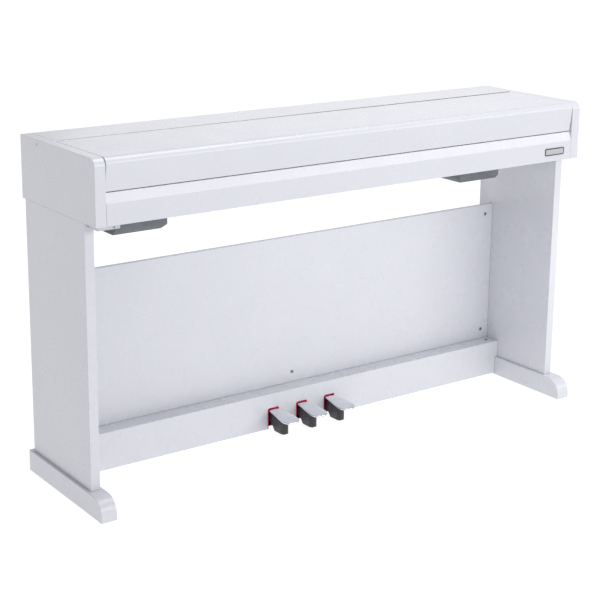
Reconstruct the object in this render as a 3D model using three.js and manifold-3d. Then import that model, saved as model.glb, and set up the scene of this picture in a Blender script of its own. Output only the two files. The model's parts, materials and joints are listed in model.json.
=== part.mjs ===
// Digital piano on a stand: a slim 88-key cabinet on two side legs, with a lid that folds up over
// the keys, a full-width modesty panel and a pedal box with three pedals.
// Millimetres, +Z up. X runs to the player's right, the front faces -Y, and the origin is the
// middle of the bounding box at floor level.
import * as THREE from "three";
import { mergeVertices } from "three/addons/utils/BufferGeometryUtils.js";
import Module from "manifold-3d";

const wasm = await Module();
wasm.setup();

// Driving dimensions
const bodyWidth = 1360;
const bodyDepth = 340;
const overallHeight = 778;
const bodyHeight = 141;
const footReach = 8;
const cheekThickness = 25;
const boardThickness = 15;
const legThickness = 22;
const footHeight = 50;
const hingeFromRear = 116;
const pedalBoxHeight = 95;
const backPanelTop = 470;
const touchGap = 0.3;

// Places worked out from them
const front = -(bodyDepth + footReach) / 2 + footReach;
const rear = front + bodyDepth;
const top = overallHeight;
const bodyBottom = top - bodyHeight;
const outerX = bodyWidth / 2;
const innerX = outerX - cheekThickness;
const boardX = innerX - touchGap;
const floorTop = bodyBottom + boardThickness;
const topBoardUnder = top - boardThickness;
const rearInner = rear - boardThickness;
const legInnerX = outerX - legThickness;
const hinge = { y: rear - hingeFromRear, z: top - 1.7, halfGap: 2 };

// Front of the body: the key slip below, the lid front above, and the finger groove between them
const grooveDepth = 6;
const bevelStart = bodyBottom + 46.5;
const slipTop = bodyBottom + 68.5;
const lidFrontBottom = slipTop + 1.8;
const lidNoseRadius = 15;
const lidX = innerX - 1.5;

// Keyboard
const keyPitch = 23.5;
const keyGap = 1;
const whiteKeyCount = 52;
const keyFront = front + 23;
const visibleKeyLength = 150;
const keyTop = bodyBottom + 81;
const keyUnder = keyTop - 14;
const blackKeyWidth = 10.5;
const blackKeyLength = 95;
const blackKeyTop = keyTop + 12;
const keyPivot = { y: 84, z: keyTop - 18 };
const keysLeft = (-whiteKeyCount * keyPitch) / 2;

// Pedals
const pedalPitch = 85;
const pedalSlotWidth = 33;
const pedalSlotTop = 58.5;
const pedalBoxFront = rear - 110;
const pedalBoxUnder = 5;
const pedalPivot = { y: pedalBoxFront + 64, z: 40 };
const pedalTop = 55.7;
const pedalDroop = 7.2;

// Materials
const paint = (color, roughness, metalness) =>
  new THREE.MeshStandardMaterial({ color, roughness, metalness });
const whiteFoil = paint(0xe6e7ea, 0.45, 0);
const whiteKey = paint(0xf4f3ee, 0.2, 0);
const blackKey = paint(0x17171a, 0.4, 0);
const greyPlastic = paint(0x66696d, 0.55, 0);
const lightGreyPlastic = paint(0xb9bbc0, 0.5, 0);
const darkPlastic = paint(0x2c2b30, 0.45, 0);
const redFelt = paint(0xb0183c, 0.95, 0);
const steel = paint(0x9a9ca0, 0.35, 1);
const chrome = paint(0xdfe2e6, 0.08, 1);
const boardGreen = paint(0x1d5a37, 0.6, 0);
const badgeMetal = paint(0xc4c6ca, 0.3, 1);
const rubber = paint(0x242424, 0.9, 0);

// Solids
function toSolid(geometry) {
  const bare = geometry.clone();
  bare.deleteAttribute("normal");
  bare.deleteAttribute("uv");
  const merged = mergeVertices(bare, 1e-4);
  const vertProperties = new Float32Array(merged.attributes.position.array);
  const triVerts = new Uint32Array(merged.index.array);
  return new wasm.Manifold(new wasm.Mesh({ numProp: 3, vertProperties, triVerts }));
}

function toGeometry(solid) {
  const mesh = solid.getMesh();
  const geometry = new THREE.BufferGeometry();
  geometry.setAttribute("position", new THREE.BufferAttribute(mesh.vertProperties, 3));
  geometry.setIndex(new THREE.BufferAttribute(mesh.triVerts, 1));
  geometry.computeVertexNormals();
  return geometry;
}

function join(geometries) {
  const solids = geometries.map(toSolid);
  return toGeometry(solids.reduce((whole, solid) => whole.add(solid)));
}

function cut(geometry, tools) {
  const start = toSolid(geometry);
  return toGeometry(tools.map(toSolid).reduce((whole, tool) => whole.subtract(tool), start));
}

function common(first, second) {
  return toGeometry(toSolid(first).intersect(toSolid(second)));
}

function block(x, y, z) {
  const box = new THREE.BoxGeometry(x[1] - x[0], y[1] - y[0], z[1] - z[0]);
  return box.translate((x[0] + x[1]) / 2, (y[0] + y[1]) / 2, (z[0] + z[1]) / 2);
}

function outline(points) {
  return new THREE.Shape(points.map(([u, v]) => new THREE.Vector2(u, v)));
}

function roundedRectangle(u, v, radius) {
  const shape = new THREE.Shape();
  shape.absarc(u[1] - radius, v[1] - radius, radius, 0, Math.PI / 2, false);
  shape.absarc(u[0] + radius, v[1] - radius, radius, Math.PI / 2, Math.PI, false);
  shape.absarc(u[0] + radius, v[0] + radius, radius, Math.PI, 1.5 * Math.PI, false);
  shape.absarc(u[1] - radius, v[0] + radius, radius, 1.5 * Math.PI, 2 * Math.PI, false);
  shape.closePath();
  return shape;
}

const axisX = new THREE.Vector3(1, 0, 0);
const axisY = new THREE.Vector3(0, 1, 0);
const axisZ = new THREE.Vector3(0, 0, 1);

// An outline in (y, z) swept along X, one in (x, z) along Y, and one in (x, y) along Z
function alongX(shape, x, curveSegments = 8) {
  const depth = x[1] - x[0];
  const geometry = new THREE.ExtrudeGeometry(shape, { depth, curveSegments, bevelEnabled: false });
  geometry.applyMatrix4(new THREE.Matrix4().makeBasis(axisY, axisZ, axisX));
  return geometry.translate(x[0], 0, 0);
}

function alongY(shape, y, curveSegments = 8) {
  const depth = y[1] - y[0];
  const geometry = new THREE.ExtrudeGeometry(shape, { depth, curveSegments, bevelEnabled: false });
  geometry.applyMatrix4(new THREE.Matrix4().makeBasis(axisX, axisZ, axisY.clone().negate()));
  return geometry.translate(0, y[1], 0);
}

function alongZ(shape, z, curveSegments = 8) {
  const depth = z[1] - z[0];
  const geometry = new THREE.ExtrudeGeometry(shape, { depth, curveSegments, bevelEnabled: false });
  return geometry.translate(0, 0, z[0]);
}

// Round bars; a cylinder's own axis is Y
function barAlongX(radius, x, y, z, sides = 16) {
  const bar = new THREE.CylinderGeometry(radius, radius, x[1] - x[0], sides);
  return bar.rotateZ(Math.PI / 2).translate((x[0] + x[1]) / 2, y, z);
}

function barAlongY(radius, x, y, z, sides = 16) {
  const bar = new THREE.CylinderGeometry(radius, radius, y[1] - y[0], sides);
  return bar.translate(x, (y[0] + y[1]) / 2, z);
}

function barAlongZ(radius, x, y, z, sides = 16) {
  const bar = new THREE.CylinderGeometry(radius, radius, z[1] - z[0], sides);
  return bar.rotateX(Math.PI / 2).translate(x, y, (z[0] + z[1]) / 2);
}

const piano = new THREE.Group();

function add(name, geometry, material) {
  const mesh = new THREE.Mesh(geometry, material);
  mesh.name = name;
  piano.add(mesh);
}

const sides = [
  { side: "left", sign: -1 },
  { side: "right", sign: 1 },
];

// A span between two distances from the middle, on either side of it
const span = (sign, near, far) => (sign < 0 ? [-far, -near] : [near, far]);

function addCase() {
  const cheekRadius = 18;
  const cheek = new THREE.Shape();
  cheek.moveTo(front, bodyBottom);
  cheek.lineTo(rear, bodyBottom);
  cheek.lineTo(rear, top);
  cheek.absarc(front + cheekRadius, top - cheekRadius, cheekRadius, Math.PI / 2, Math.PI, false);
  cheek.closePath();
  for (const { side, sign } of sides) {
    add(`${side}_cheek`, alongX(cheek, span(sign, innerX, outerX)), whiteFoil);
  }

  const hingeEdge = hinge.y + hinge.halfGap;
  const chamfer = 2;
  const topBoard = outline([
    [hingeEdge, topBoardUnder],
    [rear, topBoardUnder],
    [rear, top],
    [hingeEdge + chamfer, top],
    [hingeEdge, top - chamfer],
  ]);
  add("rear_top_board", alongX(topBoard, [-boardX, boardX]), whiteFoil);

  const rearBoard = block(
    [-boardX, boardX],
    [rearInner, rear],
    [floorTop + touchGap, topBoardUnder - touchGap],
  );
  const window = block(jackPanel.window.x, [rearInner - 1, rear + 1], jackPanel.window.z);
  add("rear_board", cut(rearBoard, [window]), whiteFoil);

  const slipBack = front + 15;
  add(
    "bottom_board",
    block([-boardX, boardX], [slipBack + touchGap, rear], [bodyBottom, floorTop]),
    whiteFoil,
  );

  // The slip laps over the front edge of the bottom board
  const lap = slipBack + 3.2;
  const slip = outline([
    [front, bodyBottom],
    [slipBack, bodyBottom],
    [slipBack, floorTop + touchGap],
    [lap, floorTop + touchGap],
    [lap, slipTop],
    [front + grooveDepth, slipTop],
    [front, bevelStart],
  ]);
  add("key_slip", alongX(slip, [-boardX, boardX]), whiteFoil);

  const keysHalfWidth = (whiteKeyCount * keyPitch) / 2;
  for (const { side, sign } of sides) {
    const keyBlock = block(
      span(sign, keysHalfWidth + 1.2, boardX),
      [lap + touchGap, keyFront + visibleKeyLength + 1],
      [floorTop + touchGap, keyTop + 4],
    );
    add(`${side}_key_block`, keyBlock, whiteFoil);
  }

  const plate = roundedRectangle([566, 630], [bodyBottom + 15, bodyBottom + 33], 3);
  add("badge_plate", alongY(plate, [front - 1.5, front - touchGap], 4), badgeMetal);
}

// The socket plate sits inside the rear board, behind a window in it
const jackPanel = {
  window: { x: [180, 330], z: [bodyBottom + 33, bodyBottom + 73] },
  lip: 8,
  socketZ: bodyBottom + 53,
};

function addSockets() {
  const { window, lip, socketZ } = jackPanel;
  const plate = block(
    [window.x[0] - lip, window.x[1] + lip],
    [rearInner - 2.3, rearInner - touchGap],
    [window.z[0] - lip, window.z[1] + lip],
  );
  const through = [rearInner - 4, rearInner + 1];
  const sockets = [
    barAlongY(4, 204, through, socketZ),
    block([228, 241], through, [socketZ - 6, socketZ + 6]),
    barAlongY(7, 270, through, socketZ, 20),
    barAlongY(4, 302, through, socketZ),
  ];
  add("rear_jack_plate", cut(plate, sockets), darkPlastic);

  const jackBox = block([-672, -620], [front + 8, front + 50], [bodyBottom - 9, bodyBottom - touchGap]);
  const jackHole = barAlongY(3.2, -634, [front + 7, front + 38], bodyBottom - 4.6);
  add("headphone_jack_box", cut(jackBox, [jackHole]), lightGreyPlastic);
}

// Speaker trays hang under the bottom board, chamfered along the front and at the inner end
function addSpeakers() {
  const inner = 425;
  const outer = 556;
  const depth = [-15, 105];
  const under = bodyBottom - 65;
  const over = bodyBottom - touchGap;
  const wall = 3;
  const chamfer = 10;

  const shell = (sign, inset, roof) => {
    const endOn = outline([
      [sign * (inner + inset), roof],
      [sign * (inner + inset), under + inset + chamfer],
      [sign * (inner + inset + chamfer), under + inset],
      [sign * (outer - inset), under + inset],
      [sign * (outer - inset), roof],
    ]);
    const sideOn = outline([
      [depth[0] + inset, roof],
      [depth[0] + inset, under + inset + chamfer],
      [depth[0] + inset + chamfer, under + inset],
      [depth[1] - inset, under + inset],
      [depth[1] - inset, roof],
    ]);
    const reach = span(sign, inner - 5, outer + 5);
    return common(alongY(endOn, [depth[0] - 5, depth[1] + 5]), alongX(sideOn, reach));
  };

  const driver = {
    x: (inner + outer) / 2,
    y: (depth[0] + depth[1]) / 2,
    z: under + wall + touchGap,
  };
  for (const { side, sign } of sides) {
    const slots = [];
    for (let i = -3; i <= 3; i += 1) {
      const x = sign * driver.x + i * 11;
      const halfLength = 36 - 3 * Math.abs(i);
      slots.push(block([x - 2, x + 2], [driver.y - halfLength, driver.y + halfLength], [under - 1, under + 5]));
    }
    const hollow = shell(sign, wall, over + 5);
    add(`${side}_speaker_tray`, cut(shell(sign, 0, over), [hollow, ...slots]), greyPlastic);

    // Flange down, cone open to the grille, magnet on top
    const profile = [
      [12, 12],
      [37, 2],
      [40, 0],
      [46, 0],
      [46, 3],
      [41, 6],
      [32, 30],
      [32, 48],
      [0, 48],
      [0, 12],
    ].map(([radius, height]) => new THREE.Vector2(radius, height));
    profile.push(profile[0].clone());
    const speaker = new THREE.LatheGeometry(profile, 24).rotateX(Math.PI / 2);
    speaker.translate(sign * driver.x, driver.y, driver.z);
    add(`${side}_speaker`, toGeometry(toSolid(speaker)), darkPlastic);
  }
}

const controls = {
  y: 37,
  panelTop: bodyBottom + 98,
  panelThickness: 3,
  power: { x: -555, radius: 6 },
  volume: { x: -510, radius: 11 },
  buttons: [
    { name: "voice_button", x: -440 },
    { name: "metronome_button", x: -405 },
  ],
};

function addControls() {
  const { y, panelTop, panelThickness, power, volume, buttons } = controls;
  const panelFront = keyFront + visibleKeyLength + 2;
  const riser = hinge.y + 4;
  const under = panelTop - panelThickness;
  const panel = outline([
    [panelFront, panelTop],
    [panelFront, panelTop - 11],
    [panelFront + panelThickness, panelTop - 11],
    [panelFront + panelThickness, under],
    [riser + panelThickness, under],
    [riser + panelThickness, topBoardUnder - touchGap],
    [riser, topBoardUnder - touchGap],
    [riser, panelTop],
  ]);
  const hole = [under - 1, panelTop + 1];
  const pill = (x, grow) =>
    roundedRectangle([x - 6 - grow, x + 6 + grow], [y - 3.5 - grow, y + 3.5 + grow], 3.2 + grow);
  const holes = [
    barAlongZ(power.radius + 0.5, power.x, y, hole, 20),
    barAlongZ(3.5, volume.x, y, hole),
    ...buttons.map(({ x }) => alongZ(pill(x, 0.5), hole, 4)),
  ];
  add("control_panel", cut(alongX(panel, [-boardX, boardX]), holes), darkPlastic);

  const circuitTop = panelTop - 12.4;
  add(
    "circuit_board",
    block([-585, -330], [y - 19, y + 21], [circuitTop - 1.6, circuitTop]),
    boardGreen,
  );

  const buttonFoot = circuitTop + 1.6;
  const buttonHead = panelTop + 2.5;
  add("power_button", barAlongZ(power.radius, power.x, y, [buttonFoot, buttonHead], 20), lightGreyPlastic);
  for (const { name, x } of buttons) {
    add(name, alongZ(pill(x, 0), [buttonFoot, buttonHead], 4), lightGreyPlastic);
  }
  const knob = join([
    barAlongZ(volume.radius, volume.x, y, [panelTop + 0.6, panelTop + 14], 24),
    barAlongZ(3, volume.x, y, [circuitTop + touchGap, panelTop + 2]),
  ]);
  add("volume_knob", knob, lightGreyPlastic);
}

function addLid() {
  const lidEdge = hinge.y - hinge.halfGap;
  const chamfer = 2;
  const board = new THREE.Shape();
  board.moveTo(lidEdge, topBoardUnder);
  board.lineTo(lidEdge, top - chamfer);
  board.lineTo(lidEdge - chamfer, top);
  board.absarc(front + lidNoseRadius, top - lidNoseRadius, lidNoseRadius, Math.PI / 2, Math.PI, false);
  board.closePath();
  add("lid_board", alongX(board, [-lidX, lidX]), whiteFoil);

  const thickness = 11;
  const frontBoard = outline([
    [front, topBoardUnder - touchGap],
    [front + thickness, topBoardUnder - touchGap],
    [front + grooveDepth + thickness, lidFrontBottom],
    [front + grooveDepth, lidFrontBottom],
  ]);
  add("lid_front_board", alongX(frontBoard, [-lidX, lidX]), whiteFoil);

  // A continuous hinge: leaves on the two board edges, knuckles taken in turn, one long pin
  const hingeHalf = 640;
  const leafThickness = 0.8;
  const knuckleRadius = 1.6;
  const pinRadius = 0.8;
  const knuckleCount = 9;
  const knuckleLength = (2 * hingeHalf) / knuckleCount;
  const bore = barAlongX(pinRadius + 0.25, [-hingeHalf - 5, hingeHalf + 5], hinge.y, hinge.z, 8);
  const leaf = (name, sign, first, plate) => {
    const outerFace = hinge.y + sign * (hinge.halfGap - touchGap);
    const innerFace = outerFace - sign * leafThickness;
    const across = [Math.min(outerFace, innerFace), Math.max(outerFace, innerFace)];
    const pieces = [block([-hingeHalf, hingeHalf], across, plate)];
    for (let i = first; i < knuckleCount; i += 2) {
      const start = -hingeHalf + i * knuckleLength;
      const ends = [start + 0.4, start + knuckleLength - 0.4];
      pieces.push(block(ends, across, [plate[1] - 1, hinge.z]));
      pieces.push(barAlongX(knuckleRadius, ends, hinge.y, hinge.z, 12));
    }
    add(name, cut(join(pieces), [bore]), steel);
  };
  // The plates end below the knuckles, so each leaf stands clear of the other one's
  const leafPlate = [topBoardUnder + 1, hinge.z - knuckleRadius - 0.4];
  leaf("hinge_fixed_leaf", 1, 0, leafPlate);
  leaf("hinge_lid_leaf", -1, 1, leafPlate);
  add("hinge_pin", barAlongX(pinRadius, [-hingeHalf, hingeHalf], hinge.y, hinge.z, 8), steel);

  for (const { side, sign } of sides) {
    const height = [slipTop + touchGap, lidFrontBottom - touchGap];
    add(`${side}_lid_buffer`, barAlongZ(4, sign * 630, front + 12, height, 12), rubber);
  }
}

// Every note from the lowest A to the highest C, with the place of its key
function layOutKeys() {
  const blackShift = { 1: -1.8, 3: 1.8, 6: -2.4, 8: 0, 10: 2.4 };
  const notes = [];
  let whites = 0;
  for (let note = 9; whites < whiteKeyCount; note += 1) {
    const step = note % 12;
    const edge = keysLeft + whites * keyPitch;
    if (step in blackShift) {
      notes.push({ note, black: true, x: edge + blackShift[step] });
    } else {
      notes.push({ note, black: false, left: edge + keyGap / 2, right: edge + keyPitch - keyGap / 2 });
      whites += 1;
    }
  }
  return notes;
}

// Behind the panel each set of keys is one piece with a rail, the black one above the white one
const railBack = keyPivot.y + 8;
const whiteRail = { y: [60, railBack], z: [keyPivot.z, keyPivot.z + 6] };
const blackRail = { y: [72.5, railBack], z: [keyPivot.z + 8, keyPivot.z + 14] };
const blackHeadBack = keyFront + visibleKeyLength - 4;
const headBack = blackHeadBack - blackKeyLength;

// The narrow part of a white key, beside the black keys
function whiteTail(notes, index) {
  const key = notes[index];
  const room = blackKeyWidth / 2 + 1.2;
  const before = notes[index - 1];
  const after = notes[index + 1];
  return [
    before?.black ? before.x + room : key.left,
    after?.black ? after.x - room : key.right,
  ];
}

function whiteKeyPieces(notes, index) {
  const { left, right } = notes[index];
  const tail = whiteTail(notes, index);
  const stemBack = whiteRail.y[0] + 10;
  const points = [
    [left, keyFront],
    [right, keyFront],
  ];
  if (tail[1] < right) {
    points.push([right, headBack - 1], [tail[1], headBack - 1]);
  }
  points.push([tail[1], stemBack], [tail[0], stemBack]);
  if (tail[0] > left) {
    points.push([tail[0], headBack - 1], [left, headBack - 1]);
  }
  return [
    alongZ(outline(points), [keyUnder, keyTop]),
    block([left, right], [keyFront, keyFront + 3], [keyTop - 20, keyUnder + 1]),
  ];
}

function blackKeyPiece(key) {
  const stemTop = keyTop - 1;
  const side = outline([
    [headBack, blackRail.z[0]],
    [headBack, keyTop],
    [headBack + 5, blackKeyTop - 1.5],
    [headBack + 8, blackKeyTop],
    [blackHeadBack, blackKeyTop],
    [blackHeadBack, stemTop],
    [blackRail.y[0], stemTop],
    [blackRail.y[0], blackRail.z[1]],
    [blackRail.y[1], blackRail.z[1]],
    [blackRail.y[1], blackRail.z[0]],
  ]);
  return alongX(side, [key.x - blackKeyWidth / 2, key.x + blackKeyWidth / 2]);
}

function addKeys() {
  const notes = layOutKeys();
  const middleC = 48;
  const middleNames = ["c", "c_sharp", "d", "d_sharp", "e"];
  const indices = notes.map((key, index) => index);
  const isMiddle = (index) => {
    const step = notes[index].note - middleC;
    return step >= 0 && step < middleNames.length;
  };

  const whiteSet = (name, chosen) => {
    const tails = chosen.flatMap((index) => whiteTail(notes, index));
    const rail = block([Math.min(...tails), Math.max(...tails)], whiteRail.y, whiteRail.z);
    const fingers = chosen.flatMap((index) => whiteKeyPieces(notes, index));
    add(name, join([rail, ...fingers]), whiteKey);
  };
  const blackSet = (name, chosen) => {
    const centres = chosen.map((index) => notes[index].x);
    const half = blackKeyWidth / 2;
    const across = [Math.min(...centres) - half, Math.max(...centres) + half];
    const rail = block(across, blackRail.y, blackRail.z);
    add(name, join([rail, ...chosen.map((index) => blackKeyPiece(notes[index]))]), blackKey);
  };

  const bass = indices.filter((index) => notes[index].note < middleC);
  const treble = indices.filter((index) => notes[index].note >= middleC + middleNames.length);
  for (const [range, chosen] of [["bass", bass], ["treble", treble]]) {
    whiteSet(`${range}_white_keys`, chosen.filter((index) => !notes[index].black));
    blackSet(`${range}_black_keys`, chosen.filter((index) => notes[index].black));
  }
  for (const index of indices.filter(isMiddle)) {
    const name = `middle_${middleNames[notes[index].note - middleC]}_key`;
    if (notes[index].black) {
      blackSet(name, [index]);
    } else {
      whiteSet(name, [index]);
    }
  }
}

function addKeyFrame() {
  const halfWidth = (whiteKeyCount * keyPitch) / 2;
  const x = [-halfWidth, halfWidth];
  const plate = [floorTop + 0.6, floorTop + 2.6];
  const fulcrum = block(x, [keyPivot.y - 4, keyPivot.y + 4], [plate[0], keyPivot.z - touchGap]);
  const guide = block(x, [keyFront + 18, keyFront + 26], [plate[0], keyUnder - 16]);
  add("key_frame", join([block(x, [keyFront, 100], plate), fulcrum, guide]), steel);

  const feltBack = keyFront + visibleKeyLength + 1.7;
  const felt = block(x, [feltBack - 2.7, feltBack], [keyTop + 1.5, keyTop + 6]);
  add("key_felt", felt, redFelt);
}

function addStand() {
  for (const { side, sign } of sides) {
    const leg = block(
      span(sign, legInnerX, outerX),
      [front + 51, rear - 14],
      [footHeight + touchGap, bodyBottom - touchGap],
    );
    add(`${side}_leg`, leg, whiteFoil);

    const noseRadius = 38;
    const footFront = front - footReach;
    const foot = new THREE.Shape();
    foot.moveTo(footFront, 0);
    foot.lineTo(rear - 2, 0);
    foot.lineTo(rear - 2, footHeight);
    foot.absarc(footFront + noseRadius, footHeight - noseRadius, noseRadius, Math.PI / 2, Math.PI, false);
    foot.closePath();
    add(`${side}_foot`, alongX(foot, span(sign, footInnerX, outerX + footReach)), whiteFoil);
  }

  const panelX = legInnerX - touchGap;
  const panelFront = rear - 66;
  add(
    "back_panel",
    block([-panelX, panelX], [panelFront, panelFront + 12], [pedalBoxHeight + touchGap, backPanelTop]),
    whiteFoil,
  );
}

const footInnerX = legInnerX - footReach;

function pedalSlot(x, grow) {
  const half = pedalSlotWidth / 2 - grow;
  const crown = pedalSlotTop - grow;
  const radius = 4 - grow;
  const shape = new THREE.Shape();
  shape.moveTo(x - half, pedalBoxUnder + touchGap - 2);
  shape.lineTo(x + half, pedalBoxUnder + touchGap - 2);
  shape.absarc(x + half - radius, crown - radius, radius, 0, Math.PI / 2, false);
  shape.absarc(x - half + radius, crown - radius, radius, Math.PI / 2, Math.PI, false);
  shape.closePath();
  return shape;
}

function addPedalBox() {
  const reach = legInnerX - touchGap;
  const lowReach = footInnerX - touchGap;
  const shoulder = footHeight + touchGap;
  const face = outline([
    [-lowReach, pedalBoxUnder],
    [lowReach, pedalBoxUnder],
    [lowReach, shoulder],
    [reach, shoulder],
    [reach, pedalBoxHeight],
    [-reach, pedalBoxHeight],
    [-reach, shoulder],
    [-lowReach, shoulder],
  ]);
  const back = pedalBoxFront + boardThickness;
  const slots = pedals.map(({ x }) => alongY(pedalSlot(x, 0), [pedalBoxFront - 1, back + 1], 4));
  add("pedal_box_front", cut(alongY(face, [pedalBoxFront, back]), slots), whiteFoil);
  const shelf = [pedalBoxHeight - boardThickness, pedalBoxHeight];
  add("pedal_box_top", block([-reach, reach], [back + touchGap, back + 73], shelf), whiteFoil);

  const plateTop = pedalBoxUnder + 2;
  const plateBack = back + 71;
  const lugs = [-1.5, -0.5, 0.5, 1.5].map((turn) => {
    const x = turn * pedalPitch;
    const lug = [pedalPivot.y - 10, pedalPivot.y + 10];
    return block([x - 1.5, x + 1.5], lug, [plateTop - 1, pedalPivot.z + 10]);
  });
  const axleReach = 1.5 * pedalPitch + 10;
  const plate = join([
    block([-axleReach - 8, axleReach + 8], [back + 0.6, plateBack], [pedalBoxUnder, plateTop]),
    block([-axleReach - 8, axleReach + 8], [plateBack - 2, plateBack], [pedalBoxUnder, shelf[0] - touchGap]),
    ...lugs,
  ]);
  const axleBore = barAlongX(3.3, [-axleReach - 5, axleReach + 5], pedalPivot.y, pedalPivot.z);
  add("pedal_base_plate", cut(plate, [axleBore]), steel);
  add("pedal_axle", barAlongX(3, [-axleReach, axleReach], pedalPivot.y, pedalPivot.z), steel);
}

const pedals = [
  { side: "left", x: -pedalPitch },
  { side: "middle", x: 0 },
  { side: "right", x: pedalPitch },
];

function addPedals() {
  const tip = pedalBoxFront - 89;
  const widest = pedalBoxFront - 68;
  const neck = 14;
  const wide = 23;
  const plateBack = pedalBoxFront + 24;
  const plateThickness = 4.7;
  const armTop = pedalTop - plateThickness - touchGap;
  const armUnder = pedalPivot.z - 13;
  const armHalf = 10.5;
  const nose = pedalBoxFront - 57;
  const noseLength = 13;
  const edgeRadius = 3;
  const skirtUnder = 6.5;
  const skirtBack = pedalBoxFront - 20;

  // The plate's line from the side: level in the slot, then curving down towards the tip
  const droopFrom = pedalBoxFront - 4;
  const drooping = (shape, height, forward) => {
    const start = { y: droopFrom, z: height };
    const end = { y: tip - 1, z: height - pedalDroop };
    const bends = [
      { y: droopFrom - 30, z: height },
      { y: tip + 28, z: height - pedalDroop + 3.4 },
    ];
    const [from, to] = forward ? [start, end] : [end, start];
    const [first, second] = forward ? bends : [bends[1], bends[0]];
    shape.lineTo(from.y, from.z);
    shape.bezierCurveTo(first.y, first.z, second.y, second.z, to.y, to.z);
  };
  const section = new THREE.Shape();
  section.moveTo(plateBack, pedalTop);
  drooping(section, pedalTop, true);
  drooping(section, pedalTop - plateThickness, false);
  section.lineTo(plateBack, pedalTop - plateThickness);
  section.closePath();
  const overArm = new THREE.Shape();
  overArm.moveTo(plateBack, armTop);
  drooping(overArm, armTop, true);
  overArm.lineTo(tip - 1, pedalTop);
  overArm.lineTo(plateBack, pedalTop);
  overArm.closePath();

  for (const { side, x } of pedals) {
    // The chromed plate is narrow in the slot, widens towards the foot and ends in a round tip
    const plate = new THREE.Shape();
    plate.moveTo(x - neck, plateBack);
    plate.lineTo(x - neck, pedalBoxFront - 3);
    plate.bezierCurveTo(x - neck - 3, pedalBoxFront - 25, x - wide, widest + 22, x - wide, widest);
    plate.bezierCurveTo(x - wide, tip + 6, x - 12, tip, x, tip);
    plate.bezierCurveTo(x + 12, tip, x + wide, tip + 6, x + wide, widest);
    plate.bezierCurveTo(x + wide, widest + 22, x + neck + 3, pedalBoxFront - 25, x + neck, pedalBoxFront - 3);
    plate.lineTo(x + neck, plateBack);
    plate.closePath();
    const blank = alongZ(plate, [pedalTop - plateThickness - pedalDroop - 1, pedalTop + 1], 7);
    const sheet = alongX(section, [x - wide - 1, x + wide + 1], 6);
    add(`${side}_pedal`, common(sheet, blank), chrome);

    // The moulded arm under it carries the pivot, and ends in a deep skirt with a round nose
    const arm = new THREE.Shape();
    arm.moveTo(nose, armTop);
    arm.lineTo(nose, skirtUnder + edgeRadius);
    arm.absarc(nose + edgeRadius, skirtUnder + edgeRadius, edgeRadius, Math.PI, 1.5 * Math.PI, false);
    arm.lineTo(skirtBack, skirtUnder);
    arm.lineTo(skirtBack + 9, skirtUnder + 11);
    arm.lineTo(pedalBoxFront - 3, armUnder - 5);
    arm.lineTo(pedalBoxFront + 18, armUnder);
    arm.lineTo(pedalPivot.y, armUnder);
    arm.absarc(pedalPivot.y, armUnder + 10, 10, -Math.PI / 2, Math.PI / 4, false);
    arm.lineTo(pedalPivot.y, armTop);
    arm.closePath();
    const plan = new THREE.Shape();
    plan.moveTo(x + armHalf, pedalPivot.y + 20);
    plan.lineTo(x - armHalf, pedalPivot.y + 20);
    plan.absellipse(x, nose + noseLength, armHalf, noseLength, Math.PI, 2 * Math.PI, false);
    plan.closePath();
    const body = common(
      alongX(arm, [x - armHalf - 1, x + armHalf + 1], 4),
      alongZ(plan, [skirtUnder - 1, armTop + 1], 10),
    );
    const bore = barAlongX(3.3, [x - 20, x + 20], pedalPivot.y, pedalPivot.z);
    const above = alongX(overArm, [x - armHalf - 1, x + armHalf + 1], 6);
    add(`${side}_pedal_arm`, cut(body, [bore, above]), darkPlastic);

    // Felt lines the slot; a coil spring under the arm lifts it
    const lining = cut(alongY(pedalSlot(x, touchGap), [pedalBoxFront + 0.5, pedalBoxFront + 14.5], 4), [
      alongY(pedalSlot(x, 1.8), [pedalBoxFront - 1, pedalBoxFront + 17], 4),
      block([x - 30, x + 30], [pedalBoxFront - 1, pedalBoxFront + 17], [0, pedalBoxUnder + 1]),
    ]);
    add(`${side}_pedal_felt`, lining, redFelt);

    const coil = { radius: 6, wire: 0.9, turns: 5, low: pedalBoxUnder + 3.3, high: armUnder - 1.3 };
    const path = new THREE.CatmullRomCurve3(
      Array.from({ length: coil.turns * 8 + 1 }, (unused, i) => {
        const angle = (i * Math.PI) / 4;
        const rise = coil.low + ((coil.high - coil.low) * i) / (coil.turns * 8);
        const y = pedalPivot.y - 28 + coil.radius * Math.sin(angle);
        return new THREE.Vector3(x + coil.radius * Math.cos(angle), y, rise);
      }),
    );
    const wire = new THREE.Shape().absarc(0, 0, coil.wire, 0, 2 * Math.PI, false);
    const spring = new THREE.ExtrudeGeometry(wire, {
      extrudePath: path,
      steps: coil.turns * 8,
      curveSegments: 3,
      bevelEnabled: false,
    });
    add(`${side}_pedal_spring`, spring, steel);
  }
}

addCase();
addSockets();
addSpeakers();
addControls();
addLid();
addKeyFrame();
addKeys();
addStand();
addPedalBox();
addPedals();

export default piano;
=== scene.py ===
"""Looks for a slim white digital piano on a panel stand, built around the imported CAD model.

Lengths are metres in the model's own frame: +X is the player's right, the front faces -Y, +Z is up
and the floor is at zero. Small sizes are written in millimetres, as 3 * MM.
"""

import json
import math

import bmesh
import bpy
from mathutils import Matrix, Vector, noise
from mathutils.geometry import interpolate_bezier


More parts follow.
